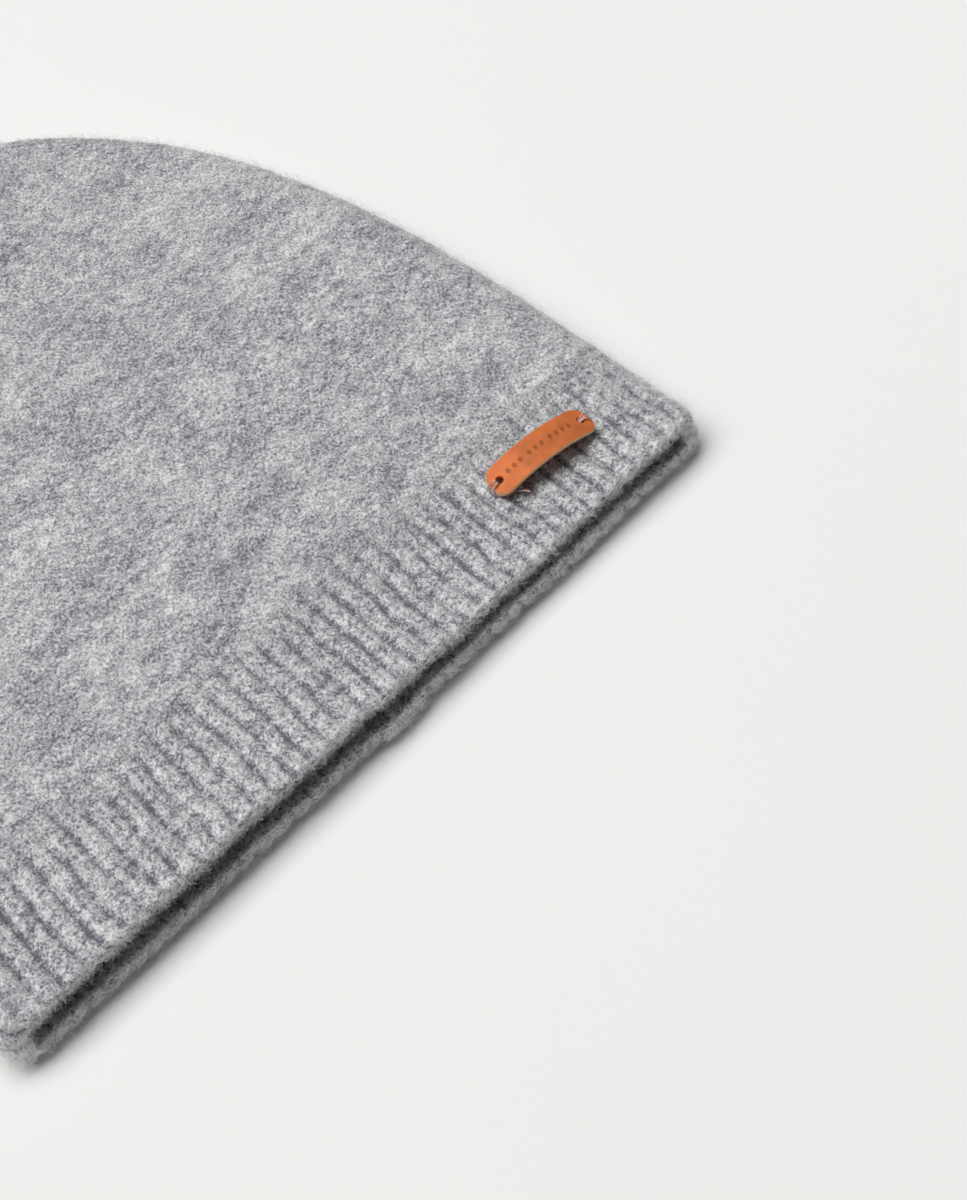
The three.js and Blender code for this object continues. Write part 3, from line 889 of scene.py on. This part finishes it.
class MakeTag(bpy.types.Operator):
    """Makes the leather tag with its rounded edges, two holes and a row of pressed marks"""

    bl_idname = "beanie.make_tag"
    bl_label = "Make the leather tag"

    def execute(self, context):
        hat, tag = context.scene.beanie_hat, context.scene.beanie_tag
        place = tag_frame(hat, tag)
        half, soft = tag.length / 2, TAG_SOFT
        t = np.linspace(-1, 1, 160)
        crowded = np.sin(t * math.pi / 2 * TAG_CROWDING) / math.sin(math.pi / 2 * TAG_CROWDING)
        x = half * (0.75 * t + 0.25 * crowded)[:, None]
        into = np.clip((np.abs(x) - (half - soft)) / soft, 0, 1)
        shrink = soft * (1 - np.sqrt(1 - np.minimum(into, 0.999) ** 2))
        round_in = np.clip(np.abs(x) - (half - tag.corner), 0, tag.corner)
        half_w = tag.width / 2 - tag.corner + np.sqrt(np.maximum(tag.corner**2 - round_in**2, 0)) - shrink
        loop, height, rim = tag_section(tag, soft)
        y = half_w * loop[None]
        z = np.clip(height[None] * tag.thickness, shrink, tag.thickness - shrink)
        marks = np.array(MARK_PLACES) * MM
        far = np.min(np.hypot(x[..., None] - marks, MARK_SQUEEZE * y[..., None]), -1)
        pressed = smooth((MARK_RADIUS - far) / MARK_SLOPE) * (height[None] > 0.97)
        z = z - MARK_DEPTH * pressed + arch(tag, x)
        rings = place(np.stack(np.broadcast_arrays(x, y, z), -1))
        skin = closed_tube(rings, rings[[0, -1]].mean(1), flipped=True)
        edge = np.maximum(np.broadcast_to(rim[None], pressed.shape), into)
        extra = {"edge": np.append(edge, [1, 1]), "pressed": np.append(0.75 * pressed, [0, 0])}
        piece = make_piece("tan_tag", *skin, leather_material("tan_leather", tag), extra)
        self.punch(piece, place, tag)
        settle(piece, "leather", "leather_tag")
        return {"FINISHED"}

    def punch(self, piece, place, tag):
        """Cuts a round hole near each end."""
        for end in (-1, 1):
            middle = end * (tag.length / 2 - tag.hole_inset)
            a = np.linspace(0, TAU, 32, endpoint=False)
            circle = np.stack([middle + tag.hole * np.cos(a), tag.hole * np.sin(a), 0 * a], -1)
            low, high = -2 * MM, 6 * MM
            rings = np.stack([circle + [0, 0, low], circle + [0, 0, high]])
            mids = np.array([[middle, 0, low], [middle, 0, high]])
            cutter = make_piece(
                "hole_cutter", *closed_tube(place(rings), place(mids)), piece.data.materials[0]
            )
            cut = piece.modifiers.new("hole", "BOOLEAN")
            cut.operation, cut.object, cut.solver = "DIFFERENCE", cutter, "EXACT"
            bpy.context.view_layer.update()
            shown = piece.evaluated_get(bpy.context.evaluated_depsgraph_get())
            punched = bpy.data.meshes.new_from_object(shown)
            piece.modifiers.clear()
            piece.data = punched
            bpy.data.objects.remove(cutter)
        piece.data.name = piece.name


def tag_section(tag, soft):
    """The tag's cross-section as shares: across from -1 to 1, height from 0 to 1, and whether it is rim."""
    flat = np.linspace(-1, 1, 44)[1:-1] * (1 - soft / (tag.width / 2))
    a = np.linspace(0, math.pi / 2, 5)
    cut_y, cut_z = soft / (tag.width / 2), soft / tag.thickness
    corner_y = 1 - cut_y + cut_y * np.cos(a)
    corner_z = 1 - cut_z + cut_z * np.sin(a)
    sides = np.linspace(cut_z, 1 - cut_z, 5)[1:-1]
    across = np.concatenate([
        flat, 1 - cut_y + cut_y * np.sin(a), np.ones(3), corner_y,
        -flat, -corner_y[::-1], -np.ones(3), -(1 - cut_y + cut_y * np.sin(a[::-1])),
    ])
    height = np.concatenate([
        0 * flat, cut_z * (1 - np.cos(a)), sides, corner_z,
        0 * flat + 1, corner_z[::-1], sides[::-1], cut_z * (1 - np.cos(a[::-1])),
    ])
    rim = np.where(np.abs(across) > 1 - 0.45 * cut_y, 1.0, 0.0)
    return across, height, rim


class MakeThreads(bpy.types.Operator):
    """Makes the thin stitches that hold the tag at its ends"""

    bl_idname = "beanie.make_threads"
    bl_label = "Make the tag's threads"

    def execute(self, context):
        hat, tag = context.scene.beanie_hat, context.scene.beanie_tag
        place = tag_frame(hat, tag)
        look = thread_material("sewing_thread", tuple(tag.thread))
        ends = ((-1, "thread_left", "tag_stitch_left"), (1, "thread_right", "tag_stitch_right"))
        for end, name, node in ends:
            rng = np.random.default_rng(5 + end)
            hole = tag.length / 2 - tag.hole_inset
            start = 0.5 * MM if end < 0 else -0.7 * MM
            strands = []
            for offset in STRANDS:
                spread = offset * MM
                top = float(arch(tag, hole)) + tag.thickness
                route = np.array([
                    [hole + start, 0.4 * spread, 0.2 * MM],
                    [hole + start + 0.2 * MM, 0.5 * spread, top * 0.8],
                    [hole + 1.1 * MM, 0.8 * spread, top + 0.22 * MM],
                    [hole + 1.7 * MM, spread, top + 0.12 * MM],
                    [tag.length / 2 + 0.25 * MM, 1.3 * spread, tag.thickness * 0.8],
                    [tag.length / 2 + 0.5 * MM, 1.5 * spread, 0.15 * MM],
                ])
                route[1:, 1] += rng.normal(0, 0.08 * MM, 5)
                route[:, 0] *= end
                strands.append(place(spline(route, 26)))
            if end < 0:
                for apart in (0, LOOSE_APART):
                    loose = np.array(LOOSE_ROUTE)
                    loose[[0, 2, 3], 1] += apart
                    strands.append(place(spline(loose * MM, 18)))
            piece = make_piece(name, *tubes(strands, THREAD_RADIUS, 7), look)
            settle(piece, "thread", node)
        return {"FINISHED"}


def spline(route, count):
    """A smooth path through the route's points, by Catmull-Rom weights of the four nearest."""
    padded = np.concatenate([[2 * route[0] - route[1]], route, [2 * route[-1] - route[-2]]])
    s = np.linspace(0, len(route) - 1, count)
    k = np.minimum(s.astype(int), len(route) - 2)
    t = (s - k)[:, None]
    a, b, c, d = (padded[k + n] for n in range(4))
    return 0.5 * (2 * b + (c - a) * t + (2 * a - 5 * b + 4 * c - d) * t**2 + (3 * b - a - 3 * c + d) * t**3)


def tubes(paths, radius, sides):
    """Round tubes along paths, each ring square to its path, closed by a point at both ends."""
    all_points, all_quads, all_fans, start = [], [], [], 0
    a = np.linspace(0, TAU, sides, endpoint=False)
    for path in paths:
        along = np.gradient(path, axis=0)
        along /= np.linalg.norm(along, axis=1, keepdims=True)
        one = np.cross(along, [0.13, 1.0, 0.21])
        one /= np.linalg.norm(one, axis=1, keepdims=True)
        two = np.cross(along, one)
        circle = one[:, None] * np.cos(a)[None, :, None] + two[:, None] * np.sin(a)[None, :, None]
        points, quads, fans = closed_tube(path[:, None] + radius * circle, path[[0, -1]])
        all_points.append(points)
        all_quads.append(start + quads)
        all_fans.append(start + fans)
        start += len(points)
    return np.concatenate(all_points), np.concatenate(all_quads), np.concatenate(all_fans)


FLOOR_REACH = 3.0  # from the middle to each side
KEY_SIZE = (17.76, 6.72)
KEY_PLACE = (-3.66, 4.944, 8.8)
FILM_WIDTH = 36.0  # in millimetres, as camera settings have it


class MakeStage(bpy.types.Operator):
    """Makes the floor, the lights and the camera"""

    bl_idname = "beanie.make_stage"
    bl_label = "Make the stage"

    def execute(self, context):
        stage = context.scene.beanie_stage
        corners = FLOOR_REACH * np.array([[-1, -1, 0], [1, -1, 0], [1, 1, 0], [-1, 1, 0]])
        look = floor_material("paper", stage.floor)
        floor = make_piece("floor", corners, np.array([[0, 1, 2, 3]]), NO_TRIANGLES, look)

        key = bpy.data.lights.new("key", "AREA")
        key.energy, key.shape = stage.key, "ELLIPSE"
        key.size, key.size_y = KEY_SIZE
        lamp = bpy.data.objects.new("key", key)
        lamp.location = KEY_PLACE
        context.scene.collection.objects.link(lamp)

        world = bpy.data.worlds.new("studio")
        world.use_nodes = True
        sky = world.node_tree.nodes["Background"]
        sky.inputs["Color"].default_value = (1, 1, 1, 1)
        sky.inputs["Strength"].default_value = stage.fill
        context.scene.world = world

        data = bpy.data.cameras.new("camera")
        data.lens, data.sensor_width, data.sensor_fit = stage.lens, FILM_WIDTH, "AUTO"
        data.clip_start, data.clip_end = 0.01, 20
        camera = bpy.data.objects.new("camera", data)
        camera.location = stage.eye
        sight = Vector(stage.target) - Vector(stage.eye)
        camera.rotation_euler = sight.to_track_quat("-Z", "Y").to_euler()
        context.scene.collection.objects.link(camera)
        context.scene.camera = camera
        context.scene.view_settings.view_transform = "Standard"
        return {"FINISHED"}


class BeaniePanel(bpy.types.Panel):
    """The beanie's sizes, colours and steps in the sidebar"""

    bl_idname = "VIEW3D_PT_beanie"
    bl_label = "Beanie"
    bl_space_type = "VIEW_3D"
    bl_region_type = "UI"
    bl_category = "Beanie"

    def draw(self, context):
        for holder in (name for name, _ in HOLDERS):
            group = getattr(context.scene, holder)
            box = self.layout.box()
            for key in group.__annotations__:
                box.prop(group, key)
        for maker in MAKERS:
            self.layout.operator(maker.bl_idname)


HOLDERS = (
    ("beanie_hat", HatSizes),
    ("beanie_wool", WoolLook),
    ("beanie_tag", TagSizes),
    ("beanie_stage", StageLook),
)
MAKERS = (MakeStage, MakeCrown, MakeBand, MakeSeam, MakeNap, MakeTag, MakeThreads)


def register():
    for _, group in HOLDERS:
        bpy.utils.register_class(group)
    for kind in (*MAKERS, BeaniePanel):
        bpy.utils.register_class(kind)
    for name, group in HOLDERS:
        setattr(bpy.types.Scene, name, PointerProperty(type=group))


def unregister():
    for name, _ in HOLDERS:
        delattr(bpy.types.Scene, name)
    for kind in (BeaniePanel, *reversed(MAKERS)):
        bpy.utils.unregister_class(kind)
    for _, group in reversed(HOLDERS):
        bpy.utils.unregister_class(group)


def main():
    register()
    for maker in MAKERS:
        group, name = maker.bl_idname.split(".")
        getattr(getattr(bpy.ops, group), name)()


if __name__ == "__main__":
    main()
